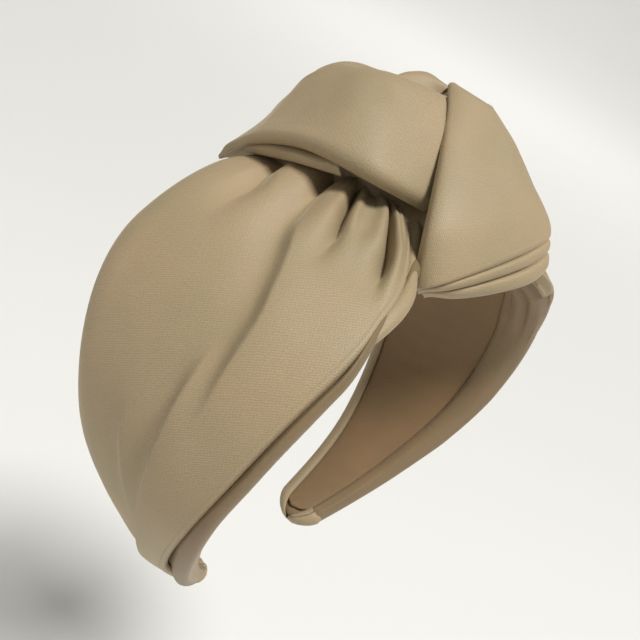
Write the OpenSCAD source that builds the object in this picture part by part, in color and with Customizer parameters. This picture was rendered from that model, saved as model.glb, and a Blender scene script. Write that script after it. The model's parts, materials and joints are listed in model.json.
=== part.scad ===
// Knotted satin headband: a padded, lined hoop under a wide gathered cover that is tied in a knot on the crown.
// Frame: origin on the lining at the middle of the crown, +Z up, X across the head, the wearer faces -Y.

/* [Hoop] */
// Radius of the crown arc, to the lining's inner face
crown_r = 128.5; // [124:0.5:134]
// Half angle of the crown arc, where the flex line sits
crown_a = 15; // [14:0.5:16]
// Radius of the shoulder arc
shoulder_r = 44; // [42:0.5:48]
// Angle from upright where the shoulder arc ends
shoulder_a = 116; // [112:1:118]
// Radius of the lower arm
lower_r = 109; // [100:1:120]
// Angle from upright at the arm's tip
tip_a = 148; // [144:1:150]

/* [Layers] */
// Thickness of the lining strip
lining_t = 0.8; // [0.6:0.1:1]
// Thickness of the plastic core
core_t = 2; // [1.6:0.1:2.2]
// Distance of the core's edges inside the wrap
core_in = 2.4; // [1:0.1:3]
// Thickness of the foam on the core
foam_t = 2.1; // [1.5:0.1:2.5]
// Thickness of the satin wrap
wrap_t = 0.55; // [0.4:0.05:0.7]
// Thickness of the wadding under the cover
wadding_t = 3.4; // [2.5:0.1:4]
// Thickness of the satin cover
cover_t = 0.5; // [0.4:0.05:0.7]
// Gap between neighbouring layers
gap = 0.05; // [0.03:0.01:0.08]
// Width of the wrap's edge turned in beside the lining
turn_in = 5.5; // [4:0.5:7]

/* [Outline] */
// Front edge at the crown, shoulder, ear, cheek, jaw and tip stations
front = [17, 21.5, 32, 28, 19.5, 10.5]; // [5:0.5:34]
// Back edge at the same stations
back = [25, 32, 32.5, 20.5, 7.5, 2.5]; // [0:0.5:34]
// Step between the wrap's front edge and the cover's front edge
cover_step = 4.5; // [3:0.5:6]

/* [Flex] */
// Greatest outward flex of an arm that the gap leaves room for
flex_out = 8.5; // [6:0.5:9]
// Greatest inward flex
flex_in = 5.5; // [4:0.5:6]
// Half width of the flex gap at the pivot
flex_gap = 0.2; // [0.2:0.05:0.3]
// Clearance of the core's rounded end in its seat
seat_c = 0.05; // [0.03:0.01:0.08]

/* [Knot] */
// Scale of the knot's lobes
knot_k = 1; // [0.96:0.01:1]
// Clearance between lobes
lobe_c = 0.12; // [0.1:0.01:0.2]
// Radius of the gathering thread
thread_r = 0.3; // [0.25:0.05:0.4]

/* [Hidden] */
$fn = 96;

satin = [0.61, 0.545, 0.425];
satin_dark = [0.49, 0.43, 0.33];
lining_col = [0.47, 0.38, 0.27];
core_col = [0.2, 0.18, 0.16];
foam_col = [0.87, 0.85, 0.8];
thread_col = [0.5, 0.44, 0.34];

reach = 260;
wide = 90;
station = [0, 0.15, 0.35, 0.58, 0.8, 1];
// Station of the widest place, where both edges run level
turn_i = 2;

// Arc centres in the X-Z plane
c_crown = [0, -crown_r];
c_shoulder = c_crown + (crown_r - shoulder_r) * [sin(crown_a), cos(crown_a)];
c_lower = c_shoulder + (shoulder_r - lower_r) * [sin(shoulder_a), cos(shoulder_a)];

// Layer heights from the lining's inner face
core_0 = lining_t + gap;
core_1 = core_0 + core_t;
foam_0 = core_1 + gap;
foam_1 = foam_0 + foam_t;
wrap_0 = foam_1 + gap;
wrap_1 = wrap_0 + wrap_t;
wadding_0 = wrap_1 + gap;
wadding_1 = wadding_0 + wadding_t;
cover_0 = wadding_1 + gap;
cover_1 = cover_0 + cover_t;
core_mid = (core_0 + core_1) / 2;
pivot = c_crown + (crown_r + core_mid) * [sin(crown_a), cos(crown_a)];

// Lengths along the arch at mid thickness
mid_h = cover_1 / 2;
len_crown = (crown_r + mid_h) * crown_a * PI / 180;
len_shoulder = (shoulder_r + mid_h) * (shoulder_a - crown_a) * PI / 180;
len_lower = (lower_r + mid_h) * (tip_a - shoulder_a) * PI / 180;
len_all = len_crown + len_shoulder + len_lower;
// Length and angle of the widest place
turn_s = station[turn_i] * len_all;
turn_a = crown_a + (turn_s - len_crown) / (shoulder_r + mid_h) * 180 / PI;

function deg_of(s, r) = s / (r + mid_h) * 180 / PI;
function arch_angle(s) = s < len_crown ? deg_of(s, crown_r)
    : s < len_crown + len_shoulder ? crown_a + deg_of(s - len_crown, shoulder_r)
    : shoulder_a + deg_of(s - len_crown - len_shoulder, lower_r);
function arch_centre(s) = s < len_crown ? c_crown : s < len_crown + len_shoulder ? c_shoulder : c_lower;
function arch_radius(s) = s < len_crown ? crown_r : s < len_crown + len_shoulder ? shoulder_r : lower_r;
function arch_point(s, h) = arch_centre(s)
    + (arch_radius(s) + h) * [sin(arch_angle(s)), cos(arch_angle(s))];

// Smooth curve through the edge values at the stations
function find(u, i = 0) = (i >= len(station) - 2 || u < station[i + 1]) ? i : find(u, i + 1);
function slope(v, i) = (i == 0 || i == turn_i) ? 0
    : i == len(v) - 1 ? (v[i] - v[i - 1]) / (station[i] - station[i - 1])
    : (v[i + 1] - v[i - 1]) / (station[i + 1] - station[i - 1]);
function ease(v, i, d, t) = (2 * t * t * t - 3 * t * t + 1) * v[i] + (t * t * t - 2 * t * t + t) * d * slope(v, i)
    + (3 * t * t - 2 * t * t * t) * v[i + 1] + (t * t * t - t * t) * d * slope(v, i + 1);
function curve(v, u) = let (i = find(u), d = station[i + 1] - station[i]) ease(v, i, d, (u - station[i]) / d);
function front_at(s, inset) = -curve(front, s / len_all) + inset;
function back_at(s, inset) = curve(back, s / len_all) - inset;

// Flat shapes in the X-Z plane
module sector(c, r, a0, a1, h0, h1) {
    translate(c) intersection() {
        difference() {
            circle(r = r + h1);
            circle(r = r + h0);
        }
        polygon([[0, 0], for (k = [0:4]) let (a = a0 + (a1 - a0) * k / 4) reach * [sin(a), cos(a)]]);
    }
}

module at_pivot() {
    translate(pivot) rotate(-crown_a) children();
}

module flex_notch() {
    at_pivot() polygon([[-flex_gap, -6], [-flex_gap, 14], [flex_gap + 14 * tan(flex_out), 14],
        [flex_gap, 0], [flex_gap + 6 * tan(flex_in), -6]]);
}

module past_pivot(side) {
    at_pivot() translate([side < 0 ? -reach : 0, -20]) square([reach, 40]);
}

module crown_flat(h0, h1) {
    difference() {
        sector(c_crown, crown_r, -crown_a - 1, crown_a + 1, h0, h1);
        flex_notch();
        mirror([1, 0]) flex_notch();
        past_pivot(1);
        mirror([1, 0]) past_pivot(1);
    }
}

module upper_flat(h0, h1, a0) {
    sector(c_shoulder, shoulder_r, a0, turn_a, h0, h1);
}

module lower_flat(h0, h1, inset) {
    sector(c_shoulder, shoulder_r, turn_a, shoulder_a, h0, h1);
    sector(c_lower, lower_r, shoulder_a, tip_a - inset / lower_r * 180 / PI, h0, h1);
}

// Outline of the band seen from above, used from the crown to the widest place
module top_outline(f_in, b_in) {
    n = 20;
    s_at = [for (k = [-n:n]) k / n * turn_s];
    x_at = [for (k = [-n:n]) sign(k) * (k == 0 ? 0 : arch_point(abs(k) / n * turn_s, mid_h)[0])];
    linear_extrude(height = 120, center = true) polygon(concat(
        [[-reach, front_at(turn_s, f_in)]],
        [for (k = [0:2 * n]) [x_at[k], front_at(abs(s_at[k]), f_in)]],
        [[reach, front_at(turn_s, f_in)], [reach, back_at(turn_s, b_in)]],
        [for (k = [2 * n:-1:0]) [x_at[k], back_at(abs(s_at[k]), b_in)]],
        [[-reach, back_at(turn_s, b_in)]]));
}

// Outline of the band seen from the side, used from the widest place to the tip
module side_outline(f_in, b_in) {
    n = 24;
    s_at = [for (k = [0:n]) turn_s + (len_all - turn_s) * k / n];
    top = 40;
    low = arch_point(len_all, 0)[1] - 30;
    rotate([90, 0, 90]) linear_extrude(height = reach) polygon(concat(
        [[front_at(turn_s, f_in), top]],
        [for (s = s_at) [front_at(s, f_in), arch_point(s, mid_h)[1]]],
        [[front_at(len_all, f_in), low], [back_at(len_all, b_in), low]],
        [for (k = [n:-1:0]) [back_at(s_at[k], b_in), arch_point(s_at[k], mid_h)[1]]],
        [[back_at(turn_s, b_in), top]]));
}

module across() {
    rotate([90, 0, 0]) linear_extrude(height = wide, center = true) children();
}

// Rounds the tip: the cutter's curve is a little wider than the tip, so it crosses both edges cleanly
module tip_corners(f_in, b_in, end_in) {
    half = (front[5] + back[5] - f_in - b_in) / 2;
    mid_y = (back[5] - front[5] + f_in - b_in) / 2;
    round_r = 1.15 * half;
    translate([c_lower[0], 0, c_lower[1]]) rotate([0, tip_a, 0])
        translate([-round_r - end_in, mid_y, lower_r - 10])
            difference() {
                translate([0, -40, 0]) cube([60, 80, 40]);
                translate([0, 0, -1]) cylinder(r = round_r, h = 42);
            }
}

module crown_layer(h0, h1, f_in, b_in) {
    intersection() {
        across() crown_flat(h0, h1);
        top_outline(f_in, b_in);
    }
}

// One layer of an arm, from the flex line or a0 to the rounded tip
module arm_solid(h0, h1, f_in, b_in, end_in, a0) {
    difference() {
        union() {
            intersection() {
                across() upper_flat(h0, h1, a0);
                top_outline(f_in, b_in);
            }
            intersection() {
                across() lower_flat(h0, h1, end_in);
                side_outline(f_in, b_in);
            }
        }
        tip_corners(f_in, b_in, end_in);
    }
}

module arm_layer(h0, h1, f_in, b_in, end_in) {
    difference() {
        arm_solid(h0, h1, f_in, b_in, end_in, crown_a);
        across() flex_notch();
    }
}

module sided(side) {
    if (side < 0) mirror([1, 0, 0]) children();
    else children();
}

module crown_wrap_shape() {
    inner = wrap_t + gap;
    difference() {
        crown_layer(0, wrap_1, 0, 0);
        crown_layer(lining_t, wrap_0, inner - gap, inner - gap);
        crown_layer(-1, lining_t + gap, turn_in, turn_in);
    }
}

module arm_wrap_shape() {
    inner = wrap_t + gap;
    difference() {
        arm_layer(0, wrap_1, 0, 0, 0);
        arm_layer(lining_t, wrap_0, inner - gap, inner - gap, inner - gap);
        arm_layer(-1, lining_t + gap, turn_in, turn_in, turn_in);
    }
}

module arm_core_shape() {
    in = wrap_t + gap + core_in;
    difference() {
        arm_solid(core_0, core_1, in, in, in + gap, crown_a - 1);
        across() past_pivot(-1);
    }
    intersection() {
        translate([pivot[0], 0, pivot[1]]) rotate([90, 0, 0]) cylinder(r = core_t / 2, h = wide, center = true);
        top_outline(in, in);
    }
}

module crown_core_shape() {
    in = wrap_t + gap + core_in;
    intersection() {
        across() difference() {
            sector(c_crown, crown_r, -crown_a, crown_a, core_0, core_1);
            at_pivot() circle(r = core_t / 2 + seat_c);
            mirror([1, 0]) at_pivot() circle(r = core_t / 2 + seat_c);
        }
        top_outline(in, in);
    }
}

module arm_cover_shape() {
    f = cover_step;
    b = 0.3;
    difference() {
        arm_layer(wadding_0, cover_1, f, b, b);
        arm_layer(wadding_0 - 1, cover_0, f + cover_t, b + cover_t, b + cover_t);
    }
}

module arm_wadding_shape() {
    i = cover_t + gap;
    arm_layer(wadding_0, wadding_1, cover_step + i, 0.3 + i, 0.3 + i);
}

module tip_fold_shape() {
    fold_l = 11;
    intersection() {
        arm_layer(-gap - cover_t, -gap, 0.4, 0.4, 0.4);
        translate([c_lower[0], 0, c_lower[1]]) rotate([0, tip_a, 0])
            translate([-fold_l, -40, lower_r - 8]) cube([40, 80, 20]);
    }
}

// Two gathered strands of the cover run under the knot
module strand_shape() {
    difference() {
        crown_layer(wadding_0, cover_1, cover_step, 0.3);
        translate([-reach + 3, -wide, -20]) cube([reach, 2 * wide, 60]);
    }
}

thread_h = cover_1 + gap + thread_r;
module thread_shape(grow) {
    a = crown_a - 2.2;
    p = c_crown + (crown_r + thread_h) * [sin(a), cos(a)];
    y0 = front_at(len_crown, cover_step + 3);
    y1 = back_at(len_crown, 4);
    translate([p[0], y0 - grow, p[1]]) rotate([-90, 0, 0])
        cylinder(r = thread_r + grow, h = y1 - y0 + 2 * grow, $fn = 24);
}

// The knot: balls joined into soft lobes
module ball(p, r, grow) {
    translate(knot_k * p) sphere(r = r + grow, $fn = 24);
}

module front_lobe_form(grow) {
    hull() {
        ball([4, 5, 28], 6.3, grow);
        ball([12, 3, 27], 6.5, grow);
        ball([-8, -2, 20], 6, grow);
        ball([-19.5, -18.5, 0.5], 5, grow);
        ball([-6, -24, 3], 5.5, grow);
        ball([12, -24.5, 7], 6.5, grow);
        ball([19, -18, 10], 7, grow);
        ball([19, -4, 19], 7, grow);
    }
}

module over_lobe_form(grow) {
    hull() {
        ball([-25, 33, 0.5], 5.5, grow);
        ball([-26.5, 10, 9.5], 5.5, grow);
        ball([-23, -2, 13], 5, grow);
        ball([-16, -6, 14], 5, grow);
        ball([-9, 2, 24.5], 6.5, grow);
        ball([-8, 14, 25.5], 6.5, grow);
        ball([-14, 27, 19.5], 6.5, grow);
        ball([-15, 32, 9], 6, grow);
    }
}

module rear_lobe_form(grow) {
    hull() {
        ball([7, 15, 25], 6.5, grow);
        ball([1, 33, 11], 7.5, grow);
        ball([-8, 33, 6], 6.5, grow);
        ball([22, 28, 6], 6.5, grow);
        ball([26, 8, 8.5], 6.5, grow);
        ball([25, -10, 6.5], 6, grow);
        ball([21, 5, 19], 7, grow);
    }
}

module band_room() {
    difference() {
        translate([-45, -60, -30]) cube([90, 120, 40]);
        translate([0, wide, c_crown[1]]) rotate([90, 0, 0]) cylinder(r = crown_r - lobe_c, h = 2 * wide);
        translate([0, wide, c_crown[1]]) rotate([90, 0, 0]) difference() {
            cylinder(r = 2 * crown_r, h = 2 * wide);
            translate([0, 0, -1]) cylinder(r = crown_r + cover_1 + lobe_c, h = 2 * wide + 2);
        }
    }
}

module keep_clear() {
    intersection() {
        band_room();
        top_outline(-lobe_c, -lobe_c);
    }
    thread_shape(lobe_c);
    mirror([1, 0, 0]) thread_shape(lobe_c);
}

module front_lobe_shape() {
    difference() {
        front_lobe_form(0);
        keep_clear();
        pad_form(lobe_c);
    }
}

module over_lobe_shape() {
    difference() {
        over_lobe_form(0);
        front_lobe_form(lobe_c);
        keep_clear();
        pad_form(lobe_c);
    }
}

module rear_lobe_shape() {
    difference() {
        rear_lobe_form(0);
        front_lobe_form(lobe_c);
        over_lobe_form(lobe_c);
        keep_clear();
        pad_form(lobe_c);
    }
}

module pad_form(grow) {
    translate([0, 2, 16.5]) sphere(r = 7 + grow, $fn = 32);
}

// A short thread post that ties the knot down to the wrap
module tack(x, y) {
    translate([x, y, wrap_1 + gap]) cylinder(r = 0.5, h = cover_1 - wrap_1 - gap, $fn = 24);
}

module core_crown() { color(core_col) crown_core_shape(); }
module core_right() { color(core_col) sided(-1) arm_core_shape(); }
module core_left() { color(core_col) sided(1) arm_core_shape(); }
module foam_crown() { color(foam_col) crown_layer(foam_0, foam_1, wrap_t + gap, wrap_t + gap); }
module arm_foam_shape() { arm_layer(foam_0, foam_1, wrap_t + gap, wrap_t + gap, wrap_t + 2 * gap); }
module foam_right() { color(foam_col) sided(-1) arm_foam_shape(); }
module foam_left() { color(foam_col) sided(1) arm_foam_shape(); }
module wrap_crown() { color(satin_dark) crown_wrap_shape(); }
module wrap_right() { color(satin_dark) sided(-1) arm_wrap_shape(); }
module wrap_left() { color(satin_dark) sided(1) arm_wrap_shape(); }
module lining_crown() { color(lining_col) crown_layer(0, lining_t, turn_in + gap, turn_in + gap); }
module arm_lining_shape() { arm_layer(0, lining_t, turn_in + gap, turn_in + gap, turn_in + gap); }
module lining_right() { color(lining_col) sided(-1) arm_lining_shape(); }
module lining_left() { color(lining_col) sided(1) arm_lining_shape(); }
module wadding_right() { color(foam_col) sided(-1) arm_wadding_shape(); }
module wadding_left() { color(foam_col) sided(1) arm_wadding_shape(); }
module cover_right() { color(satin) sided(-1) arm_cover_shape(); }
module cover_left() { color(satin) sided(1) arm_cover_shape(); }
module tip_fold_right() { color(satin) sided(-1) tip_fold_shape(); }
module tip_fold_left() { color(satin) sided(1) tip_fold_shape(); }
module strand_right() { color(satin) sided(-1) strand_shape(); }
module strand_left() { color(satin) sided(1) strand_shape(); }
module gather_thread_right() { color(thread_col) sided(-1) thread_shape(0); }
module gather_thread_left() { color(thread_col) sided(1) thread_shape(0); }
module lobe_over() { color(satin) over_lobe_shape(); }
module lobe_front() { color(satin) front_lobe_shape(); }
module lobe_rear() { color(satin) rear_lobe_shape(); }
module knot_wadding() { color(foam_col) pad_form(0); }
module knot_tacks() { color(thread_col) for (y = [-8, 12]) tack(0, y); }

core_crown();
core_right();
core_left();
foam_crown();
foam_right();
foam_left();
wrap_crown();
wrap_right();
wrap_left();
lining_crown();
lining_right();
lining_left();
wadding_right();
wadding_left();
cover_right();
cover_left();
tip_fold_right();
tip_fold_left();
strand_right();
strand_left();
gather_thread_right();
gather_thread_left();
lobe_over();
lobe_front();
lobe_rear();
knot_wadding();
knot_tacks();
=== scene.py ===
import json
import math
from collections import namedtuple
import bpy
import numpy as np
from mathutils import Matrix, Vector


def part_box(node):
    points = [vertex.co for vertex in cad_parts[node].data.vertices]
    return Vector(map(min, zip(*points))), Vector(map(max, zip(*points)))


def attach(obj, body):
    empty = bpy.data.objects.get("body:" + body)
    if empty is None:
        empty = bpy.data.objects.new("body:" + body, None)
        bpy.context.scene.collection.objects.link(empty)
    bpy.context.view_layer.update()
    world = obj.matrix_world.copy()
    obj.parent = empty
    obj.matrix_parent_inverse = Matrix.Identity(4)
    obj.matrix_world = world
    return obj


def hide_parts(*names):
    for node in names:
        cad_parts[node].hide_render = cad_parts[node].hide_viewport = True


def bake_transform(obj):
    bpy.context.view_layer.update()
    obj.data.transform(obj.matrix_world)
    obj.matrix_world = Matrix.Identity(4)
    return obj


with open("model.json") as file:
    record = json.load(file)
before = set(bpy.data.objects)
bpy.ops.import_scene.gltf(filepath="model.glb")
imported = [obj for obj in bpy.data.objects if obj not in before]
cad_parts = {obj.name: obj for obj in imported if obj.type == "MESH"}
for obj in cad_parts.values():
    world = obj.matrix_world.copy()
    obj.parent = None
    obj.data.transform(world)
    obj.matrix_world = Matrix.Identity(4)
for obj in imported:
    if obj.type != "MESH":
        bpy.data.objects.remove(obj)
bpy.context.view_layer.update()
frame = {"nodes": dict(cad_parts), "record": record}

# Shapes are worked out in millimetres from ORIGIN and put in place in metres
MM = 0.001
# How many millimetres of cloth one unit of UV stands for
UV_MM = 100.0
LINING_T = 0.8
crown_lo, crown_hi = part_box("lining_crown")
# The crown's middle, on the lining's inner face
ORIGIN = np.array([(crown_lo.x + crown_hi.x) / 2, 0.0, crown_hi.z - LINING_T * MM])

# ---------------------------------------------------------------- the hoop's curve, as in the CAD, in mm
# Each arm runs over three arcs: the inner radius, and the angle from straight up at which the arc ends
CROWN_R, CROWN_A = 128.5, 15.0
SHOULDER_R, SHOULDER_A = 44.0, 116.0
LOWER_R, TIP_A = 109.0, 148.0
# Height above the lining's inner face at which lengths along the hoop are measured
MID_H = 4.8
# How far the front and back edges lie from the middle plane, at these shares of an arm's length
STATION = np.array([0, 0.15, 0.35, 0.58, 0.8, 1.0])
FRONT = np.array([17, 21.5, 32, 28, 19.5, 10.5])
BACK = np.array([25, 32, 32.5, 20.5, 7.5, 2.5])
WIDEST = 2
# The left arm's front edge: lengths along the arm, and how far it lies behind the right arm's there
LEFT_FRONT_S = [50, 62, 76, 107, 130]
LEFT_FRONT_SHIFT = [0, 2.5, 2.8, 0, -1.2]


def unit(angle):
    """The direction at angle degrees from straight up, as X and Z."""
    turn = np.radians(angle)
    return np.stack([np.sin(turn), np.cos(turn)], -1)


C_CROWN = np.array([0, -CROWN_R])
C_SHOULDER = C_CROWN + (CROWN_R - SHOULDER_R) * unit(CROWN_A)
C_LOWER = C_SHOULDER + (SHOULDER_R - LOWER_R) * unit(SHOULDER_A)
L_CROWN = (CROWN_R + MID_H) * math.radians(CROWN_A)
L_SHOULDER = (SHOULDER_R + MID_H) * math.radians(SHOULDER_A - CROWN_A)
L_LOWER = (LOWER_R + MID_H) * math.radians(TIP_A - SHOULDER_A)
L_ALL = L_CROWN + L_SHOULDER + L_LOWER


def arch(s, h):
    """X and Z at length s from the crown and height h above the lining, on the +X side."""
    s = np.asarray(s, float)
    on_crown = np.degrees(s / (CROWN_R + MID_H))
    on_shoulder = CROWN_A + np.degrees((s - L_CROWN) / (SHOULDER_R + MID_H))
    on_lower = SHOULDER_A + np.degrees((s - L_CROWN - L_SHOULDER) / (LOWER_R + MID_H))
    first, second = s < L_CROWN, s < L_CROWN + L_SHOULDER
    angle = np.where(first, on_crown, np.where(second, on_shoulder, on_lower))
    radius = np.where(first, CROWN_R, np.where(second, SHOULDER_R, LOWER_R))
    centre = np.where(first[..., None], C_CROWN, np.where(second[..., None], C_SHOULDER, C_LOWER))
    return centre + (radius + h)[..., None] * unit(angle)


def edge(values, s):
    """The smooth curve through values at the stations, level at the crown and at the widest station."""
    share = np.clip(np.asarray(s, float) / L_ALL, 0, 1)
    last = len(values) - 1
    slope = np.zeros(last + 1)
    for i in range(1, last + 1):
        after = min(i + 1, last)
        slope[i] = (values[after] - values[i - 1]) / (STATION[after] - STATION[i - 1])
    slope[WIDEST] = 0
    i = np.clip(np.searchsorted(STATION, share, side="right") - 1, 0, last - 1)
    gap = STATION[i + 1] - STATION[i]
    t = (share - STATION[i]) / gap
    return ((2 * t**3 - 3 * t * t + 1) * values[i] + (t**3 - 2 * t * t + t) * gap * slope[i]
            + (3 * t * t - 2 * t**3) * values[i + 1] + (t**3 - t * t) * gap * slope[i + 1])


def front_y(s, side=-1):
    """The front edge; the left arm's lies a little differently, as it does in the real one."""
    y = -edge(FRONT, s)
    if side > 0:
        y = y + np.interp(s, LEFT_FRONT_S, LEFT_FRONT_SHIFT)
    return y


def back_y(s):
    """The back edge, the same on both arms."""
    return edge(BACK, s)


def smooth(x, a, b):
    """0 where x is at a, 1 where it is at b, with a soft start and end, and level past both."""
    t = np.clip((np.asarray(x, float) - a) / (b - a), 0, 1)
    return t * t * (3 - 2 * t)


def spline(points, count, closed=False):
    """count points along a Catmull-Rom curve, spread evenly over its spans."""
    p = np.array(points, float)
    if closed:
        p = np.concatenate([p[-1:], p, p[:2]])
    else:
        p = np.concatenate([2 * p[:1] - p[1:2], p, 2 * p[-1:] - p[-2:-1]])
    spans = len(p) - 3
    t = np.linspace(0, spans, count, endpoint=not closed)
    i = np.minimum(t.astype(int), spans - 1)
    f = (t - i)[:, None]
    a, b, c, d = p[i], p[i + 1], p[i + 2], p[i + 3]
    return 0.5 * (2 * b + (c - a) * f + (2 * a - 5 * b + 4 * c - d) * f**2 + (3 * b - a - 3 * c + d) * f**3)


def line_y(points, s, count=120):
    """y at length s on the smooth line through (s, y) points."""
    curve = spline(points, count)
    return np.interp(s, curve[:, 0], curve[:, 1])


def loft(net, columns, rows):
    """A smooth surface through a net of points."""
    across = np.stack([spline(row, columns) for row in np.array(net, float)])
    return np.stack([spline(across[:, j], rows) for j in range(columns)], 1)


def grid_mesh(name, grid, uv, material, close_u=False, flip=False, on_part=True):
    """A mesh from rows and columns of points in mm; uv has a place in mm of cloth for each point."""
    rows, columns = grid.shape[:2]
    points = grid.reshape(-1, 3) * MM + (ORIGIN if on_part else 0)
    faces, corners = [], []
    for i in range(rows - 1):
        for j in range(columns if close_u else columns - 1):
            k = (j + 1) % columns
            face = [i * columns + j, i * columns + k, (i + 1) * columns + k, (i + 1) * columns + j]
            corner = [(i, j), (i, j + 1), (i + 1, j + 1), (i + 1, j)]
            faces.append(face[::-1] if flip else face)
            corners.append(corner[::-1] if flip else corner)
    mesh = bpy.data.meshes.new(name)
    mesh.from_pydata(points.tolist(), [], faces)
    at = np.array(corners).reshape(-1, 2)
    cloth = uv[at[:, 0], np.minimum(at[:, 1], uv.shape[1] - 1)]
    layer = mesh.uv_layers.new(name="cloth")
    layer.data.foreach_set("uv", (cloth / UV_MM).ravel())
    mesh.polygons.foreach_set("use_smooth", [True] * len(faces))
    mesh.update()
    ob = bpy.data.objects.new(name, mesh)
    bpy.context.scene.collection.objects.link(ob)
    ob.data.materials.append(material)
    return ob


def normals(grid):
    """The unit normal at each point of a grid."""
    n = np.cross(np.gradient(grid, axis=1), np.gradient(grid, axis=0))
    return n / np.maximum(np.linalg.norm(n, axis=-1, keepdims=True), 1e-9)


def solid(ob, thick):
    """Gives a cloth surface its thickness in mm, behind its face."""
    modifier = ob.modifiers.new("thick", "SOLIDIFY")
    modifier.thickness = thick * MM
    modifier.offset = -1
    modifier.use_rim = True


# ---------------------------------------------------------------- materials
SHEEN_RGB = (225, 210, 180)
# Spacing of the twill's ribs in mm, and how far the colour drifts either way
TWILL_MM = 0.52
DRIFT = 0.06
# The wave texture repeats at this length
WAVE_LENGTH = 2 * math.pi / 20


def lin(rgb):
    """An sRGB colour from 0 to 255, as the linear values that Blender takes."""
    parts = [x / 255 for x in rgb]
    return tuple(((x + 0.055) / 1.055) ** 2.4 if x > 0.04045 else x / 12.92 for x in parts)


def satin_material(name, rgb, rough, sheen, bump):
    """Satin: a fine twill in bump and colour, a soft sheen, and a slow drift of colour."""
    material = bpy.data.materials.new(name)
    material.use_nodes = True
    nodes, links = material.node_tree.nodes, material.node_tree.links
    bsdf = nodes["Principled BSDF"]
    bsdf.inputs["Roughness"].default_value = rough
    bsdf.inputs["Sheen Weight"].default_value = sheen
    bsdf.inputs["Sheen Roughness"].default_value = 0.35
    bsdf.inputs["Sheen Tint"].default_value = (*lin(SHEEN_RGB), 1)
    bsdf.inputs["Specular IOR Level"].default_value = 0.34
    bsdf.inputs["Anisotropic"].default_value = 0.35
    coordinates = nodes.new("ShaderNodeTexCoord")

    def wave(angle, spacing, distortion):
        """Ribs at an angle across the cloth, spacing mm apart, made uneven by distortion."""
        turn = nodes.new("ShaderNodeMapping")
        turn.inputs["Rotation"].default_value = (0, 0, math.radians(angle))
        links.new(coordinates.outputs["UV"], turn.inputs["Vector"])
        ribs = nodes.new("ShaderNodeTexWave")
        ribs.wave_type, ribs.bands_direction = "BANDS", "X"
        ribs.inputs["Scale"].default_value = UV_MM / spacing * WAVE_LENGTH
        ribs.inputs["Distortion"].default_value = distortion
        ribs.inputs["Detail"].default_value = 2
        ribs.inputs["Detail Scale"].default_value = 1.4
        links.new(turn.outputs["Vector"], ribs.inputs["Vector"])
        return ribs.outputs["Fac"]

    def noise(space, scale, detail):
        """A fine or broad unevenness."""
        grain = nodes.new("ShaderNodeTexNoise")
        grain.inputs["Scale"].default_value = scale
        grain.inputs["Detail"].default_value = detail
        links.new(coordinates.outputs[space], grain.inputs["Vector"])
        return grain.outputs["Fac"]

    def blend(a, b, share):
        """a mixed with a share of b."""
        mix = nodes.new("ShaderNodeMix")
        mix.data_type = "FLOAT"
        mix.inputs["Factor"].default_value = share
        links.new(a, mix.inputs["A"])
        links.new(b, mix.inputs["B"])
        return mix.outputs["Result"]

    weave = blend(wave(38, TWILL_MM, 3.5), wave(-61, TWILL_MM * 1.3, 4.5), 0.3)
    cloth = blend(weave, noise("UV", UV_MM / 0.5, 4), 0.62)
    relief = nodes.new("ShaderNodeBump")
    relief.inputs["Strength"].default_value = bump
    relief.inputs["Distance"].default_value = 0.0003
    links.new(cloth, relief.inputs["Height"])
    links.new(relief.outputs["Normal"], bsdf.inputs["Normal"])

    drift = nodes.new("ShaderNodeValToRGB")
    colour = np.array(lin(rgb))
    darker, lighter = drift.color_ramp.elements
    darker.position, lighter.position = 0.34, 0.66
    darker.color = (*(colour * (1 - DRIFT) * (0.98, 1.01, 1.0)), 1)
    lighter.color = (*(colour * (1 + DRIFT) * (1.02, 0.99, 1.0)), 1)
    links.new(noise("Object", 34, 5), drift.inputs["Fac"])

    depth = nodes.new("ShaderNodeMapRange")
    depth.inputs["From Min"].default_value = 0.3
    depth.inputs["From Max"].default_value = 0.7
    depth.inputs["To Min"].default_value = 0.86
    depth.inputs["To Max"].default_value = 1.05
    links.new(cloth, depth.inputs["Value"])
    shaded = nodes.new("ShaderNodeMix")
    shaded.data_type, shaded.blend_type = "RGBA", "MULTIPLY"
    shaded.inputs["Factor"].default_value = 1.0
    links.new(drift.outputs["Color"], shaded.inputs["A"])
    links.new(depth.outputs["Result"], shaded.inputs["B"])
    links.new(shaded.outputs["Result"], bsdf.inputs["Base Color"])
    return material


SATIN = satin_material("satin", (162, 143, 112), rough=0.52, sheen=0.3, bump=0.32)
# The wrap's colour is the cover's satin made darker and browner: painted shade for the shaded inside of the
# hoop
WRAP_PAINTED_SHADE = satin_material("satin_wrap", (129, 108, 79), rough=0.5, sheen=0.2, bump=0.35)
# The lining's colour is the cover's satin made darker and browner: painted shade for the hoop's shaded inner
# face
LINING_PAINTED_SHADE = satin_material("lining", (126, 101, 71), rough=0.62, sheen=0.12, bump=0.3)
THREAD = satin_material("thread", (140, 122, 94), rough=0.6, sheen=0.1, bump=0.3)

# ---------------------------------------------------------------- arm pieces
# side is -1 for the wearer's right arm, at -X, and 1 for the left. On an arm, s is the length from the
# crown's middle, y the place across the band, and h the height above the lining's inner face, all in mm.

# Steps along an arm are finer over this length before its tip
END_L = 8
# Points round the band's outline, and across the folded strand
BAND_COLUMNS, FACING_COLUMNS = 96, 44
# The lining stops this far before the tip
LINING_GAP = 2.5
# The cover starts here, under the knot, and ends just past the hoop's tip
COVER_START = 6
COVER_END = L_ALL + 0.6
# The cover's own height is first taken this far behind its hem
HEM_ROLL = 1.15
# Share of its width at which the cover stands highest
PEAK = 0.35
# The running stitches: the length s at which they lie, their pitch and the thread's radius
STITCH_S, STITCH_MM, THREAD_R = 15.5, 2.6, 0.22

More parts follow.
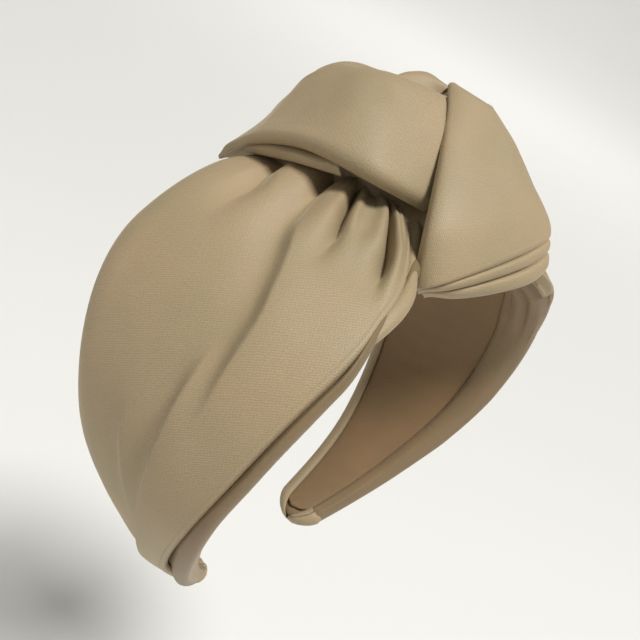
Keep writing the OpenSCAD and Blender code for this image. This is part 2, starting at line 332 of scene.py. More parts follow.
# The front hem of the right arm's cover: (s, y) from the knot to the tip
HEM = [(4, 3.5), (11, -1), (15, -6), (23, -13.5), (31, -20), (40, -25), (48, -27.5), (56, -29.5), (66, -30),
       (84, -28.5), (97, -26.5), (112, -23), (133, -17), (150, -13), (168, -10.5), (186, -8.5)]
# The outer edge of the strand beside the hem: (s, y) from the knot out
STRAND_EDGE = [(4, -3), (12, -9), (18, -14), (25, -19), (35, -26), (46, -29.5), (55, -31), (64, -31.5)]

# A valley between pleats: its line of (s, y) points, its depth, its width to the back and to the front, and
# the lengths s where it is full and where it has gone
Valley = namedtuple("Valley", "line depth back front full gone")
VALLEYS = [
    Valley([(14, 26), (33, 21.5), (42, 18.5), (50, 18), (60, 17)], 3.0, 4.6, 2.3, full=30, gone=64),
    Valley([(12, 12), (20, 11.5), (29, 9.5), (40, 5), (48, 2), (62, 1)], 3.0, 3.2, 2.2, full=28, gone=56),
    Valley([(10, 8.5), (15, 7.5), (20, 5.5), (32, -1), (42, -6.5), (56, -10)], 4.4, 1.7, 1.3,
           full=30, gone=53),
    Valley([(8, 6.5), (15, 1.5), (21, -6), (28, -12), (36, -17.5), (46, -22)], 5.2, 2.3, 1.1,
           full=31, gone=47),
]
# A long ridge: the line of its crest, its height, its width to the back and to the front, the depth of the
# hollow behind it, and the lengths s where it starts and ends
Ridge = namedtuple("Ridge", "line height back front hollow start end")
RIDGES = [
    Ridge([(26, 12), (38, 4), (45, 0.5), (52, -4.5), (59, -8.5), (67, -12), (84, -15)], 1.1, 1.0, 8.0,
          hollow=2.5, start=40, end=82),
    Ridge([(76, -7), (92, -9.5), (114, -11), (130, -10), (150, -7.5)], 1.0, 0.75, 7.0,
          hollow=1.8, start=84, end=150),
    Ridge([(98, 2.5), (116, -3), (130, -5.5), (145, -6)], 0.5, 0.55, 4.0, hollow=0.8, start=106, end=140),
    Ridge([(16, 17), (42, 11.5), (56, 9.5), (70, 9)], 0.5, 1.4, 4.5, hollow=0.0, start=20, end=55),
    Ridge([(12, 0.5), (17, -5), (24, -12.5), (31, -17), (46, -25)], 1.3, 0.5, 1.5,
          hollow=0.0, start=16, end=40),
]


def arm_name(piece, side):
    """The name of an arm's piece, with R for the right arm and L for the left."""
    return piece + ("_R" if side < 0 else "_L")


def place(side, s, y, h):
    """Points in mm from ORIGIN, for arm coordinates."""
    xz = arch(s, h)
    return np.stack([side * xz[..., 0], y, xz[..., 1]], -1)


def end_steps(end, count):
    """Lengths up to end that crowd together, as a round end needs."""
    return end - END_L * np.cos(np.linspace(0, math.pi / 2, count))[1:]


def round_end(to_end, length):
    """1 along the band, falling to 0 where to_end is 0, as a round end of that length does."""
    k = np.clip(to_end / length, 0, 1)
    return np.sqrt(np.clip(1 - (1 - k) ** 2, 0, 1))


def draw_in(y, h, mid_y, mid_h, t, least, thin, steep):
    """A section drawn in to its middle as t falls from 1 to 0 at the tip: its height to thin, then to least."""
    tall = thin + (1 - thin) * t if t > 0.05 else steep * t
    return mid_y + (y - mid_y) * max(t, least), mid_h + (h - mid_h) * max(tall, least)


def groove(s):
    """How far across the band, from its front edge, the soft front roll meets the lining."""
    return np.interp(s, [0, 50, 80, 120, 190], [0.27, 0.24, 0.2, 0.2, 0.25])


def hem_y(s, side):
    """Where the cover's front hem lies: a fixed way behind the hoop's own front edge."""
    return line_y(HEM, s, 300) + front_y(s, side) - front_y(s)


def band_section(s, side):
    """The wrapped hoop's closed outline at length s, as (y, h) points, and its middle y."""
    front, back = float(front_y(s, side)), float(back_y(s))
    width = back - front
    # The outline's turns shrink where the band is narrow
    k = min(1.0, width / 30)
    roll = 2.1 * float(smooth(s, 26, 56) * smooth(L_ALL - s, 3, 45)) * k
    strip = max(1.6, min(5.0, hem_y(s, side) - front))
    groove_w = float(groove(s)) * width
    if side < 0:
        front -= 0.7 * float(smooth(s, 50, 65) * smooth(s, 110, 90))
    front_edge = [(front, 2.6), (front + 0.9 * k, 0.6)]
    soft_roll = [(front + 0.26 * groove_w, -0.4 - roll * 0.6), (front + 0.55 * groove_w, -0.3 - roll),
                 (front + 0.84 * groove_w, -0.2 - roll * 0.7)]
    behind_lining = [(front + groove_w, 0.3), (front + groove_w + 0.025 * width, 0.9),
                     (front + 0.6 * width, 0.95)]
    back_edge = [(back - 4.2 * k, 0.95), (back - 3.0 * k, 0.15), (back - 1.6 * k, 0.2), (back - 0.5, 2.0),
                 (back - 1.6 * k, 3.6)]
    under_cover = [(back - 5 * k, 4.2), ((front + back) / 2, 4.4), (front + (strip + 2.2) * k, 3.9)]
    bare_strip = [(front + (strip + 0.2) * k, 4.3), (front + 0.62 * strip * k, 5.5),
                  (front + 0.28 * strip * k, 5.3), (front + 0.05 * strip * k, 4.2)]
    outline = front_edge + soft_roll + behind_lining + back_edge + under_cover + bare_strip
    return spline(outline, BAND_COLUMNS, closed=True), (front + back) / 2


def band_gathers(s, y, h, side):
    """How far the small gathers beside the knot stand out of the band's inner face."""
    from_edge = y - front_y(s, side)
    across = from_edge / 2.1 + 0.5 * np.sin(s * 0.09)
    along = (0.5 + 0.7 * smooth(s, 60, 38)) * smooth(s, 10, 24) * smooth(s, 88, 56)
    strength = along * smooth(h, 3.2, 1.2) * smooth(from_edge, 15, 10) * (1.9 if side > 0 else 1)
    return strength * (np.sin(across * 2.4) + 0.35 * np.sin(across * 5.1 + 1))


def band_piece(side):
    """The wrapped, padded hoop: closed, with a soft roll along its front edge, turned in to the lining."""
    lengths = np.concatenate([np.linspace(0, L_ALL - END_L, 126), end_steps(L_ALL, 25)])
    rows = []
    for s in lengths:
        outline, mid_y = band_section(s, side)
        t = float(round_end(L_ALL - s, 7.0))
        y, h = draw_in(outline[:, 0], outline[:, 1], mid_y, 2.8, t, least=0.02, thin=0.35, steep=8)
        rows.append(np.stack([np.full(BAND_COLUMNS, s), y, h], -1))
    grid = np.array(rows)
    s, y = grid[..., 0], grid[..., 1]
    h = grid[..., 2] - band_gathers(s, y, grid[..., 2], side)
    ripple = 0.12 * np.sin(s * 1.9 + 0.8 * np.sin(s * 0.31)) * smooth(-h, -3.0, -0.5)
    uv = np.stack([s, np.broadcast_to(np.arange(BAND_COLUMNS) * 1.2, s.shape)], -1)
    points = place(side, s, y, h - ripple)
    return grid_mesh(arm_name("wrap", side), points, uv, WRAP_PAINTED_SHADE, close_u=True, flip=side > 0)


def lining_piece(side):
    """The lining on the inner face, from the crown's middle to near the tip, puffed between its edges."""
    end = L_ALL - LINING_GAP
    s = np.linspace(0, end, 130)
    across = np.linspace(0, 1, 40)
    front, back = front_y(s, side), back_y(s)
    width = back - front
    y0 = front + (groove(s) - 0.003) * width
    y1 = back - np.minimum(3.4, 0.11 * width)
    middle = (y0 + y1) / 2
    scale = np.maximum(round_end(end - s, 5), 0.05)
    y0, y1 = middle + (y0 - middle) * scale, middle + (y1 - middle) * scale
    y = y0[:, None] * (1 - across) + y1[:, None] * across
    s = np.broadcast_to(s[:, None], y.shape)
    puff = 4 * across * (1 - across)
    h = 0.35 - 0.45 * puff**0.4 + 0.06 * np.sin(s * 0.9 + 2.0 * np.sin(across * 7)) * puff
    uv = np.stack([s, y], -1)
    ob = grid_mesh(arm_name("lining", side), place(side, s, y, h), uv, LINING_PAINTED_SHADE, flip=side < 0)
    solid(ob, 0.5)
    return ob


def valley_height(valley, s, y):
    """What a valley takes off the cover's height, and the soft swell that it leaves on either side."""
    d = y - line_y(valley.line, s)
    full = smooth(s, valley.gone, valley.full)
    depth = valley.depth * full * (0.75 + 0.25 * smooth(s, 10, 26))
    widen = (0.8 + 0.9 * (1 - full)) * (0.55 + 0.45 * smooth(s, 14, 34))
    back, front = valley.back * widen, valley.front * widen
    cut = np.where(d > 0, np.exp(-np.abs(d / back) ** 1.6), np.exp(-np.abs(d / front) ** 1.8))
    back_swell = 0.34 * min(1, 3.5 / valley.back) * np.exp(-(((d - 2.0 * back) / (1.5 * back)) ** 2))
    front_swell = 0.26 * np.exp(-(((d + 2.1 * front) / (1.5 * front)) ** 2))
    return depth * (back_swell + front_swell - cut)


def ridge_height(ridge, s, y):
    """What a ridge adds to the cover's height, less the long hollow behind it."""
    d = y - line_y(ridge.line, s)
    along = smooth(s, ridge.start - 12, ridge.start + 6) * smooth(s, ridge.end + 10, ridge.end - 10)
    crest = np.where(d > 0, np.exp(-((d / (3.5 * ridge.back)) ** 2)), np.exp(-((d / ridge.front) ** 2)))
    behind = (np.sqrt(np.maximum(d, 0) ** 2 + 0.36) - 0.6) / ridge.back
    hollow = np.where(d > 0, 2.27 * (np.exp(-behind / 9) - np.exp(-behind / 2.5)), 0)
    return along * (ridge.height * crest - ridge.hollow * hollow)


def cover_height(s, y, front, back):
    """The height of the cover's outer face, between its front hem and its back edge."""
    across = np.clip((y - front) / (back - front), 0, 1)
    rise = 1 - np.abs((PEAK - across) / PEAK) ** 2.2
    fall = 1 - 0.85 * ((across - PEAK) / (1 - PEAK)) ** 2
    crown = np.where(across < PEAK, rise, fall)
    swell = 0.3 + (1.7 + 0.9 * smooth(s, 105, 60)) * smooth(L_ALL - s, 0, 60)
    h = 5.3 + swell * crown - 2.2 * smooth(s, 23, 9) * smooth(across, 0.08, 0.3)
    h = h + 1.1 * smooth(s, 27, 12) * smooth(across, 0.3, 0.05)
    for valley in VALLEYS:
        h = h + valley_height(valley, s, y)
    for ridge in RIDGES:
        h = h + ridge_height(ridge, s, y)
    return h


def cover_section(s, side):
    """The cover's outline at length s, as (y, h) points from inside the front hem to inside the back edge."""
    closed = float(smooth(s, L_ALL - 12, L_ALL - 5))
    front = float(hem_y(s, side)) * (1 - closed) + (float(front_y(s, side)) - 0.5) * closed
    back = float(back_y(s)) - 0.5 - 9 * float(smooth(s, 28, 8))
    hem_h = float(cover_height(s, front + HEM_ROLL, front, back))
    low = (hem_h - 1.7) * (1 - closed) - 0.7 * closed
    r = (hem_h - low) / 2
    under = [(front + 4.5, low + 0.15), (front + 2.4, low)]
    half_turn = np.linspace(-math.pi / 2, math.pi / 2, 9)
    curl = [(front + r - r * math.cos(a), low + r + r * math.sin(a)) for a in half_turn]
    bend_w = min(8.5, 0.28 * (back - front))
    top_y = front + r + (back - bend_w - front - r) * np.linspace(0, 1, 170)[1:]
    top_h = cover_height(s, top_y, front, back)
    over_back = [(back - bend_w + bend_w * math.sin(a), 2.0 + (top_h[-1] - 2.0) * math.cos(a))
                 for a in np.linspace(0, math.pi / 2, 12)[1:]]
    under_back = [(back - 2.2 + 2.2 * math.cos(a), 2.0 - 2.25 * math.sin(a))
                  for a in np.linspace(0, math.pi / 2, 7)[1:]]
    outline = under + curl + list(zip(top_y, top_h)) + over_back + under_back + [(back - 3.6, -0.2)]
    return np.array(outline), (front + back) / 2


def cover_piece(side):
    """The padded cover of an arm, with its gathers, its rolled front hem and its closed tip."""
    near_knot, plain = np.linspace(COVER_START, 66, 150), np.linspace(66, COVER_END - END_L, 90)[1:]
    rows = []
    for s in np.concatenate([near_knot, plain, end_steps(COVER_END, 26)]):
        outline, mid_y = cover_section(s, side)
        t = float(round_end(COVER_END - s, 7))
        y, h = draw_in(outline[:, 0], outline[:, 1], mid_y, 3.0, t, least=0.03, thin=0.3, steep=6)
        rows.append(np.stack([np.full(len(outline), s), y, h], -1))
    grid = np.array(rows)
    points = place(side, grid[..., 0], grid[..., 1], grid[..., 2])
    steps = np.diff(grid[..., 1:], axis=1, prepend=grid[:, :1, 1:])
    uv = np.stack([grid[..., 0], np.cumsum(np.linalg.norm(steps, axis=-1), axis=1)], -1)
    ob = grid_mesh(arm_name("cover", side), points, uv, SATIN, flip=side < 0)
    solid(ob, 0.35)
    return ob


def facing_section(s, outer, side):
    """The folded strand's outline at length s: (y, h) points from under its outer edge to under the hem."""
    fade = float(smooth(s, 40, 62))
    lift = 3.4 * float(smooth(s, 29, 9))
    top = 5.0 - 1.5 * fade
    y = outer + 2.6 * fade
    hem = float(hem_y(s, side))
    under = [(y + 3.0, 0.9), (y + 1.2, 1.0 + 0.5 * fade + 0.2 * lift)]
    outer_face = [(y + 0.3, 2.2 + 0.5 * lift), (y, 3.2 + 0.8 * lift), (y + 0.35, 4.1 + lift)]
    over = [(y + 1.2, top - 0.15 + lift), (y + 2.4, top + lift)]
    tucked = [(max(y + 3.4, hem + 0.3), top - 0.7 + lift), (max(y + 5, hem + 2.5), top - 1.8 + lift),
              (max(y + 7, hem + 5.0), top - 2.6 + lift)]
    outline = spline(under + outer_face + over + tucked, FACING_COLUMNS)
    if side > 0:
        turn = 3 * np.linspace(0, 1, FACING_COLUMNS) * 2 * math.pi
        pleat = 1.15 * float(smooth(s, 60, 26))
        outline[:, 0] -= pleat * np.sin(turn)
        outline[:, 1] += 0.7 * pleat * np.sin(turn + 0.6)
    return outline


def facing_piece(side):
    """The folded edge of the gathered strand that runs under the knot, just outside the cover's hem."""
    lengths = np.linspace(5, 62, 120)
    outer = line_y(STRAND_EDGE, lengths, 200) + (front_y(lengths, side) - front_y(lengths))
    outlines = np.array([facing_section(s, y, side) for s, y in zip(lengths, outer)])
    s = np.broadcast_to(lengths[:, None], outlines.shape[:2])
    points = place(side, s, outlines[..., 0], outlines[..., 1])
    uv = np.stack([s, np.broadcast_to(np.arange(FACING_COLUMNS) * 0.4, s.shape)], -1)
    ob = grid_mesh(arm_name("strand_facing", side), points, uv, SATIN, flip=side < 0)
    solid(ob, 0.4)
    return ob


def stitch_piece(side):
    """Running stitches that hold the gathers: one thread that goes in and out of the cover near the knot."""
    front = float(hem_y(STITCH_S, side))
    back = float(back_y(STITCH_S)) - 10
    y = np.linspace(front + 1.5, back - 6, 260)
    s = np.full(y.shape, STITCH_S)
    h = cover_height(s, y, front, back) + 0.05 + 0.35 * np.sin(y * 2 * math.pi / STITCH_MM)
    line = place(side, s, y, h)
    curve = bpy.data.curves.new("stitch", "CURVE")
    curve.dimensions = "3D"
    curve.bevel_depth = THREAD_R * MM
    curve.bevel_resolution = 3
    curve.use_fill_caps = True
    thread = curve.splines.new("POLY")
    thread.points.add(len(line) - 1)
    thread.points.foreach_set("co", np.concatenate([line * MM + ORIGIN, np.ones((len(line), 1))], 1).ravel())
    ob = bpy.data.objects.new(arm_name("gather_stitches", side), curve)
    bpy.context.scene.collection.objects.link(ob)
    curve.materials.append(THREAD)
    return ob


first_joint = frame["record"]["behaviour"]["joints"][0]["pos_m"]
JOINT_X, JOINT_Z = abs(first_joint[0]), first_joint[2]


def bend_arm(ob, side):
    """Bakes the piece's placement into its mesh; the arm is not bent at the flex line, which lies at the
    record's first joint.
    """
    lean = math.radians(CROWN_A)

    def along(d):
        """The point d metres along the hoop from the flex line."""
        return (side * (JOINT_X + d * math.cos(lean)), 0, JOINT_Z - d * math.sin(lean))

    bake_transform(ob)


for side, tag in ((-1, "right"), (1, "left")):
    band = band_piece(side)
    lining = lining_piece(side)
    cover = cover_piece(side)
    # The two sides' pieces meet at the crown's middle, and the right ones also stand for the crown's nodes
    crown_band = ("wrap_crown", "foam_crown") if side < 0 else ()
    crown_lining = ("lining_crown",) if side < 0 else ()
    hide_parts("wrap_" + tag, "foam_" + tag, *crown_band)
    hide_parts("lining_" + tag, *crown_lining)
    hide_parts("cover_" + tag, "wadding_" + tag, "tip_fold_" + tag)
    facing = facing_piece(side)
    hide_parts("strand_" + tag)
    stitches = stitch_piece(side)
    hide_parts("gather_thread_" + tag)
    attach(stitches, "crown")
    for ob in (band, lining, cover, facing):
        bend_arm(ob, side)

# ---------------------------------------------------------------- the knot
# Points are in mm from ORIGIN. The two lobes seen most run between edge lines; the others are small nets.

# The thickness of the knot's cloth
LOBE_T = 0.6
# The way in to the knot from its front lobe's folds
INTO_KNOT = np.array([0.8, 0.4, -0.45])
# The lobe over the right strand: its hem, its top edge, and how fully the hem rolls in at each column
OVER_COLUMNS = 9
OVER_HEM = [(-32.6, 37.4, -1.5), (-34.4, 28.4, 7.4), (-34.4, 15, 14), (-30.4, -1, 15.5), (-16, -10.8, 13)]
OVER_TOP = [(-21, 35.5, 10.2), (-19.5, 34, 20), (-17.3, 28.3, 26.2), (-12.2, 17.5, 31.2), (-2.7, 6.3, 32)]
OVER_ROLL = [0.5, 0.8, 1, 1, 0.95, 0.85, 0.75, 0.6, 0.4]
# The lobe down the front: its two sides from the top, the lowest points of its foot, and how its face swells
FRONT_ROWS = 9
FRONT_LEFT = [(2.1, 8.3, 34.1), (-7.3, -0.6, 28.3), (-16.4, -9.4, 20.4), (-24.2, -17.7, 10.1),
              (-25.5, -22.5, -0.9)]
FRONT_RIGHT = [(9.4, -0.8, 33.2), (10, -10.2, 29), (11.6, -19.4, 22.7), (15.7, -25.6, 17.5), (16, -28, 15)]
FOOT_LEFT = np.array([-18.1, -23.3, -3.6])
FOOT_RIGHT = np.array([17.9, -31.7, 7.3])
FRONT_CROWN = [(-2, -2, 0.4), (-0.6, -1.9, 1.4), (-1.3, -2.7, 1.2), (-2.9, -2.5, 1.6), (-4.9, -2.9, 1.8)]
# Its foot's folds: how far down each line lies, and how deep it goes in
FRONT_FAN = [(0.13, 0), (0.24, 4), (0.34, 0), (0.5, 0), (0.6, 4), (0.76, 0), (1, 0), (1.06, 4.2)]
FAN_CROWN = ((-4.9, -3, 1.9), (0.5, -4.3, 0.5))
# Its top rolls in to the knot by these steps
TOP_ROLL = ((12, 8, -12), (9.6, 6.4, -7), (6.7, 3.8, -3.2), (3.8, 1.4, -0.9))
# Its right side turns in by two steps: above the foot, and at the foot's folds
SIDE_TURN = ((4.3, 1.7, -1.9), (10.9, 7.7, -7))
FOOT_TURN = ((3.1, 3.6, -1.5), (4.2, 11, -2.4))
FOOT_TURN_ROW = 6
# The double fold under the first lobe's hem: its line and its section
HEM_LINE = [(-31, 32.4, 1.1), (-33, 19.2, 6.8), (-31.3, 6, 10.9)]
HEM_SECTION = ((2.8, 3.8, 1), (0.2, 1.1, 0.6), (0, 0, 0), (0.7, -0.2, -0.7), (3.4, 1.6, -1))


def over_net():
    """The lobe over the near strand: from its rolled hem up over a padded face to its top edge."""
    hem, top = spline(OVER_HEM, OVER_COLUMNS), spline(OVER_TOP, OVER_COLUMNS)
    u = np.linspace(0, 1, OVER_COLUMNS)[:, None]
    roll = np.array(OVER_ROLL)[:, None]
    rows = [hem + roll * np.array([6.5, 4, -5.2]), hem + np.array([0.9, 0.7, -3.4])]
    for t in (0, 0.14, 0.36, 0.54, 0.77, 0.9, 1):
        crown = np.array([-0.5, 0, 2.9]) * smooth(u, 0.4, 0.65) * (4 * t * (1 - t)) ** 0.7
        dip = math.exp(-(((t - 0.46) / 0.2) ** 2)) * smooth(u, 0.02, 0.15) * smooth(u, 0.55, 0.35)
        rows.append(hem * (1 - t) + top * t + crown + np.array([-1.2, -0.4, -2.0]) * dip)
    rows.append(top + np.array([2.5, 0.5, -1.1]))
    return np.array(rows)


def front_net():
    """The lobe that comes down the front: a padded face, then folds that fan out across its foot."""
    left, right = spline(FRONT_LEFT, FRONT_ROWS), spline(FRONT_RIGHT, FRONT_ROWS)
    crowns = spline(FRONT_CROWN, FRONT_ROWS)
    lines = [(left[k], right[k], crowns[k], 0.8 + 0.2 * k) for k in range(FRONT_ROWS)]
    for share, depth in FRONT_FAN:
        inward = INTO_KNOT * depth
        a = left[-1] * (1 - share) + FOOT_LEFT * share + inward
        b = right[-1] * (1 - share) + FOOT_RIGHT * share + inward * 0.6
        crown = np.array(FAN_CROWN[0]) * (1 - share) + np.array(FAN_CROWN[1]) * share
        lines.append((a, b, crown, 2.4))
    rows = []
    for k, (a, b, crown, turn_in) in enumerate(lines):
        face = [a + (b - a) * t + crown * (4 * t * (1 - t)) ** 0.6 for t in (0, 0.1, 0.27, 0.52, 0.76, 1)]
        turn = SIDE_TURN if k < FOOT_TURN_ROW else FOOT_TURN
        left_end = a + np.array([0.3, 0.8, -0.75]) * turn_in
        rows.append([left_end] + face + [b + np.array(step) for step in turn])
    top = [np.array(rows[0]) + np.array(step) for step in TOP_ROLL]
    return np.array(top + rows)


def hem_net():
    """The double fold that shows under the first lobe's hem."""
    line = spline(HEM_LINE, 6)
    return np.array([line + np.array(step) for step in HEM_SECTION])


# The rear lobe, from its top row to its bottom row
REAR = [
    [(-19, 35.5, 7), (-17.5, 35.3, 13), (-16.5, 34, 18.5), (-16, 32, 22), (-14.9, 28.6, 24.5),
     (-13, 24.2, 26.8), (-9.9, 18.4, 29), (-4, 13, 29.6), (2, 9, 29)],
    [(-24, 34.6, 6.5), (-22.5, 34.1, 12.5), (-19.5, 34, 18.6), (-16.4, 33.1, 23.4), (-13.2, 30.7, 26.8),
     (-10, 28, 28.4), (-6, 25.2, 28.8), (-1, 21.5, 29), (5, 16.5, 29.5)],
    [(-22.5, 36.2, 5), (-19.3, 36.2, 11), (-15.5, 36.9, 16.8), (-11.5, 36.8, 20.8), (-7.5, 35, 23.6),
     (-3, 32.6, 25.2), (2, 29.8, 25.8), (8, 26, 26.4), (13, 19.5, 26.8)],
    [(-21, 37.6, 2.8), (-15.5, 40.4, 7.4), (-10.5, 40.7, 12.5), (-5, 40.4, 16), (0, 39.4, 18.3),
     (5, 37.4, 19.7), (10, 34.4, 20.4), (16, 29.5, 21), (21, 22, 22)],
    [(-18.5, 37.2, -0.3), (-11.5, 40.6, 3.4), (-5.5, 41.6, 7), (1, 41.6, 9.8), (7, 40.6, 11.5),
     (12, 38.6, 12.7), (17, 35.6, 13.3), (22, 30.5, 13.8), (27, 22, 15)],
    [(-15.5, 35, -2.8), (-9, 38.6, -1.5), (-2.5, 40, 0.8), (4, 40, 2.5), (10, 39, 3.5),
     (16, 37, 4), (21, 34, 4.2), (26, 29, 5), (30, 21, 8)],
    [(-13, 31, -2.6), (-7, 34, -2.6), (-1, 35.5, -2), (5, 35.5, -1.5), (10, 35, -1),
     (16, 33.5, -0.5), (21, 31, 0), (25, 26.5, 2), (28, 20, 6)],
]
# The small fold behind the top of the knot
REAR_TOP = [
    [(-9, 14, 23.5), (-4, 17, 27), (-1, 17.5, 27.6), (2, 17, 28), (5, 15.5, 28.2), (8, 13, 28.3),
     (10, 9, 28), (10, 4, 26)],
    [(-8.5, 18, 25), (-3, 20.5, 28.8), (0, 21.3, 29.4), (3.5, 20.6, 30.8), (7, 18.4, 32), (9, 15, 32),
     (11, 10, 31.4), (12.5, 3, 28.5)],
    [(-6, 21.5, 25), (-1, 22.8, 28.4), (2.2, 23.5, 28.9), (5.5, 22.8, 30.4), (9.5, 20, 32), (11.5, 15.5, 31.6),
     (14, 10, 30.6), (15.5, 2, 27.5)],
    [(-3, 25.5, 22.5), (3, 26.4, 25.4), (6.5, 26.6, 26), (10, 25, 27), (14, 21, 28), (16.8, 15.5, 27.8),
     (18.5, 9.5, 27), (19, 2, 24)],
    [(0, 27.5, 18), (5, 28, 20), (9, 27.5, 20.8), (13, 25.5, 22), (17.5, 21, 22.5), (19.5, 15, 22),
     (20, 9, 21.5), (20, 2, 19)],
]
# The lobe on the knot's left side, from its bottom row to its top row
SIDE = [
    [(22, -19, 0), (27, -17.5, 1), (32.3, -11, 3.5), (33, 2, 5), (31.5, 16, 4.5), (27, 26.5, 2), (21, 31, -1)],
    [(22.5, -20, 5), (27.3, -18.5, 5), (33.3, -11, 9), (34.2, 2, 11), (32.4, 15.5, 10.2), (27.5, 26, 7.2),
     (21, 31, 4)],
    [(19.5, -18, 11), (25, -17, 11), (31, -10.5, 15.5), (32.4, 3, 17.6), (30.5, 14.5, 16.8), (26, 24, 13),
     (19.5, 29.5, 9.5)],
    [(15, -13.5, 18), (20, -12, 18), (26, -5.5, 22.3), (27.6, 4.5, 24), (25.6, 14, 23), (21, 22, 19.2),
     (15, 27, 16)],
    [(8, -5, 25), (12, -4, 26), (17.5, -0.5, 29), (18.5, 6, 29.6), (16.2, 12.5, 28.6), (12.5, 18.5, 26),
     (8.5, 22.5, 23)],
    [(4, -2, 24), (7, -1, 25.5), (10, 1, 27), (11, 6, 27), (9.5, 11, 26), (7.5, 16, 23.5), (4.5, 19, 20.5)],
]
# Points on the lobes' cloth so far, from which the cloth inside the knot takes its form
CLOTH = []
HEART_CENTRE = np.array([0.0, 6.0, 12.0])
HEART_INSET = 0.9
HEART_LOWEST = -2.0
CREASE_FADE = 0.15
# The first lobe's end leaves its net by this step, on its way round the back, and goes no further back or
# down than these
TURN_STEP = np.array([2.8249, 0.7223, -0.9892])
TURN_BACK, TURN_LOW = 38.5, -4.5


def lobe(name, net, folds=(), columns=130, rows=130, flip=False):
    """A piece of the knot's cloth through a net of points, with folds that move it along its normals."""
    grid = loft(net, columns, rows)
    outward = normals(grid) * (-1 if flip else 1)
    u, v = np.meshgrid(np.linspace(0, 1, columns), np.linspace(0, 1, rows))
    for fold in folds:
        grid = grid + outward * fold(u, v)[..., None]
    along_u = np.cumsum(np.linalg.norm(np.diff(grid, axis=1, prepend=grid[:, :1]), axis=-1), axis=1)
    along_v = np.cumsum(np.linalg.norm(np.diff(grid, axis=0, prepend=grid[:1]), axis=-1), axis=0)
    ob = grid_mesh(name, grid, np.stack([along_u, along_v], -1), SATIN, flip=flip)
    solid(ob, LOBE_T)
    CLOTH.append(grid[::3, ::3].reshape(-1, 3))
    return ob


def spread(values, pick):
    """Each value replaced by what pick takes from it and its neighbours, by row and then by column."""
    for axis in (1, 0):
        values = pick(pick(np.roll(values, -1, axis), np.roll(values, 1, axis)), values)
    return values


def heart_piece():
    """The cloth inside the knot and under the crown: one form just within the lobes."""
    cloth = np.concatenate(CLOTH) - HEART_CENTRE
    reach = np.linalg.norm(cloth, axis=1)
    latitudes = np.linspace(-math.pi / 2 + 0.03, math.pi / 2 - 0.03, 46)
    longitudes = np.linspace(0, 2 * math.pi, 80, endpoint=False)
    lat, lon = np.meshgrid(latitudes, longitudes, indexing="ij")
    ray = np.stack([np.cos(lat) * np.cos(lon), np.cos(lat) * np.sin(lon), np.sin(lat)], -1)
    closeness = ray.reshape(-1, 3) @ (cloth / reach[:, None]).T
    # The nearest cloth within 7 degrees of each ray, or else the cloth closest to the ray
    nothing = 1e3
    inner = np.where(closeness > math.cos(math.radians(7)), reach, nothing).min(axis=1)
    closest = reach[closeness.argmax(axis=1)]
    radius = np.where(inner < nothing, inner, closest).reshape(lat.shape) - HEART_INSET
    radius = radius - 9 * smooth(-ray[..., 0] - 0.4 * ray[..., 1], 0.55, 0.8)
    for pick in (np.maximum, np.minimum):
        for _ in range(3):
            radius = spread(radius, pick)
    for _ in range(2):
        above, below = np.vstack([radius[:1], radius[:-1]]), np.vstack([radius[1:], radius[-1:]])
        radius = (radius * 2 + np.roll(radius, 1, 1) + np.roll(radius, -1, 1) + above + below) / 6
    grid = HEART_CENTRE + ray * radius[..., None]
    grid[..., 2] = np.maximum(grid[..., 2], HEART_LOWEST)
    ob = grid_mesh("knot_heart", grid, np.stack([lon * 30, lat * 30], -1), SATIN, close_u=True)
    return ob


def crease(line, depth, width):
    """A valley, or a ridge if depth is negative, where v follows line over u."""
    line_u, line_v = zip(*line)

    def fold(u, v):
        """How far the crease moves the cloth along its normal."""
        off = v - np.interp(u, line_u, line_v)
        ends = smooth(u, -CREASE_FADE, CREASE_FADE) * smooth(u, 1 + CREASE_FADE, 1 - CREASE_FADE)
        return -depth * np.exp(-((off / width) ** 2)) * ends

    return fold


def turned(net, low, high):
    """The net with its first end carried on round the back, and in under the rear lobe from low to high."""
    rows = []
    for i, row in enumerate(net):
        tuck = np.array(low) + (np.array(high) - np.array(low)) * i / (len(net) - 1)
        near = row[0] + TURN_STEP
        middle = (near + tuck) / 2 + np.array([-1.0, 1.6, -0.4])
        route = np.array([tuck, middle, near])
        route[:, 1] = np.minimum(route[:, 1], TURN_BACK)
        route[:, 2] = np.maximum(route[:, 2], TURN_LOW)
        rows.append(np.concatenate([route, row]))
    return rows


REAR_FOLDS = [crease([(0, 0.30), (0.5, 0.36), (1, 0.42)], 1.1, 0.05),
              crease([(0, 0.62), (0.5, 0.58), (1, 0.6)], 1.3, 0.05),
              crease([(0, 0.47), (0.5, 0.47), (1, 0.52)], -0.7, 0.06)]
SIDE_FOLDS = [crease([(0, 0.42), (0.5, 0.5), (1, 0.46)], 1.0, 0.06),
              crease([(0, 0.26), (0.6, 0.24), (1, 0.3)], -0.6, 0.05)]
over = lobe("lobe_over_cloth", turned(over_net(), (-14, 31, -3), (-15, 32, 13)), columns=150)
leaf = lobe("lobe_over_hem", hem_net(), columns=90, rows=50)
front = lobe("lobe_front_cloth", front_net(), columns=110, rows=200)
rear = lobe("lobe_rear_cloth", REAR, REAR_FOLDS)
rear_top = lobe("lobe_rear_top", REAR_TOP, columns=70, rows=70)
side_lobe = lobe("lobe_side_cloth", SIDE, SIDE_FOLDS, columns=100, rows=100, flip=True)
heart = heart_piece()
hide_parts("knot_wadding")
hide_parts("lobe_over")
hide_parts("lobe_front")
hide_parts("lobe_rear", "knot_tacks")
for ob in (over, leaf, front, rear, rear_top, side_lobe, heart):
    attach(ob, "crown")
for name in ("core_crown", "core_right", "core_left"):
    core = frame["nodes"][name]
    core.data.materials.clear()
    core.data.materials.append(THREAD)

# ---------------------------------------------------------------- floor, light and camera, in metres
FLOOR_Z = -0.30
FLOOR_SIDES = 96
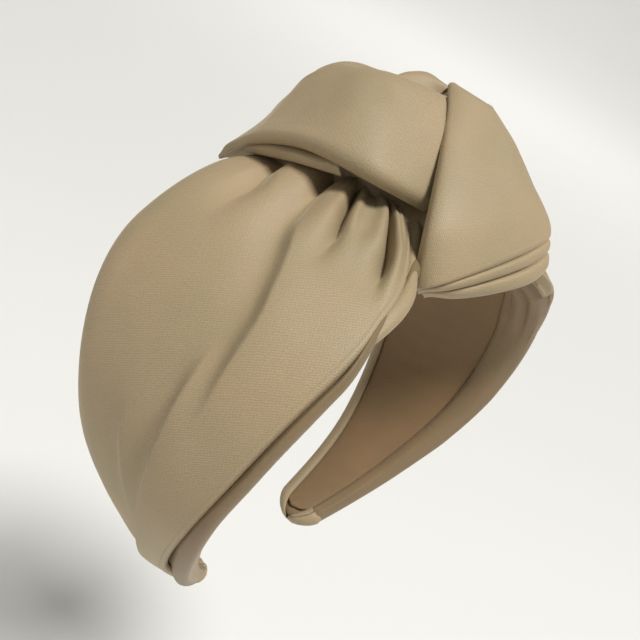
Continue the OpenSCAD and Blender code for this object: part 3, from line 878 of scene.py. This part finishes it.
# The floor's edge curves up to a backdrop all round: distance from the middle, and height
FLOOR_PROFILE = [(1.0, 0.0), (2.0, 0.0), (3.0, 0.0), (3.6, 0.03), (4.2, 0.14), (4.8, 0.36), (5.3, 0.72),
                 (5.6, 1.2), (5.8, 1.9), (5.9, 2.8)]
CAM_POS = Vector((-0.1982, -0.09069, 0.06783))
CAM_AZ, CAM_EL, CAM_ROLL = (math.radians(angle) for angle in (-63.521, 25.552, 28.834))
SENSOR_MM, LENS_MM = 36, 49.6


def stage_floor():
    """A pale round floor in two pieces: a flat middle, and a ring that curves up to the backdrop."""
    material = bpy.data.materials.new("floor")
    material.use_nodes = True
    bsdf = material.node_tree.nodes["Principled BSDF"]
    bsdf.inputs["Base Color"].default_value = (*lin((229, 228, 224)), 1)
    bsdf.inputs["Roughness"].default_value = 0.9
    turns = np.linspace(0, 2 * math.pi, FLOOR_SIDES + 1)[:-1]
    ring = np.array([[(r * math.cos(t), r * math.sin(t), z + FLOOR_Z) for t in turns]
                     for r, z in FLOOR_PROFILE])
    no_uv = np.zeros((*ring.shape[:2], 2))
    floor = grid_mesh("floor", ring / MM, no_uv, material, close_u=True, flip=True, on_part=False)
    disc = bpy.data.meshes.new("floor_disc")
    disc.from_pydata([tuple(p) for p in ring[0]], [], [list(range(FLOOR_SIDES))])
    disc.materials.append(material)
    middle = bpy.data.objects.new("floor_middle", disc)
    bpy.context.scene.collection.objects.link(middle)


def area_light(name, toward, distance, size, power, target=(0, 0, -0.03)):
    """A round area light at a distance from the target, toward which it shines."""
    light = bpy.data.lights.new(name, "AREA")
    light.shape, light.size, light.energy = "DISK", size, power
    ob = bpy.data.objects.new(name, light)
    bpy.context.scene.collection.objects.link(ob)
    direction = Vector(toward).normalized()
    ob.location = Vector(target) + direction * distance
    ob.rotation_euler = direction.to_track_quat("Z", "Y").to_euler()
    return ob


stage_floor()
world = bpy.data.worlds.new("studio")
bpy.context.scene.world = world
world.use_nodes = True
sky = world.node_tree.nodes["Background"]
sky.inputs["Color"].default_value = (*lin((240, 239, 232)), 1)
sky.inputs["Strength"].default_value = 0.27

# The camera's axes: back points from the object to the camera, and right and up are level until it rolls
back = Vector((math.sin(CAM_AZ) * math.cos(CAM_EL), -math.cos(CAM_AZ) * math.cos(CAM_EL), math.sin(CAM_EL)))
level_right = Vector((math.cos(CAM_AZ), math.sin(CAM_AZ), 0))
level_up = back.cross(level_right)
right = level_right * math.cos(CAM_ROLL) + level_up * math.sin(CAM_ROLL)
up = -level_right * math.sin(CAM_ROLL) + level_up * math.cos(CAM_ROLL)
camera_data = bpy.data.cameras.new("camera")
camera = bpy.data.objects.new("camera", camera_data)
bpy.context.scene.collection.objects.link(camera)
turn = Matrix((right, up, back)).transposed().to_4x4()
camera.matrix_world = Matrix.Translation(CAM_POS) @ turn
camera_data.sensor_width = SENSOR_MM
camera_data.lens = LENS_MM
camera_data.clip_start = 0.01
bpy.context.scene.camera = camera

area_light("key", back * 0.64 + right * 0.56 + up * 0.5, 3.6, 1.2, 148)
area_light("fill", (-0.93, 0.25, 0.3), 4.0, 2.4, 9)
backdrop = area_light("backdrop", (-0.72, -0.36, 0.6), 3.3, 1.8, 42, target=(4.4, 2.2, 0.0))
backdrop.visible_camera = False
bpy.context.scene.view_settings.view_transform = "Standard"
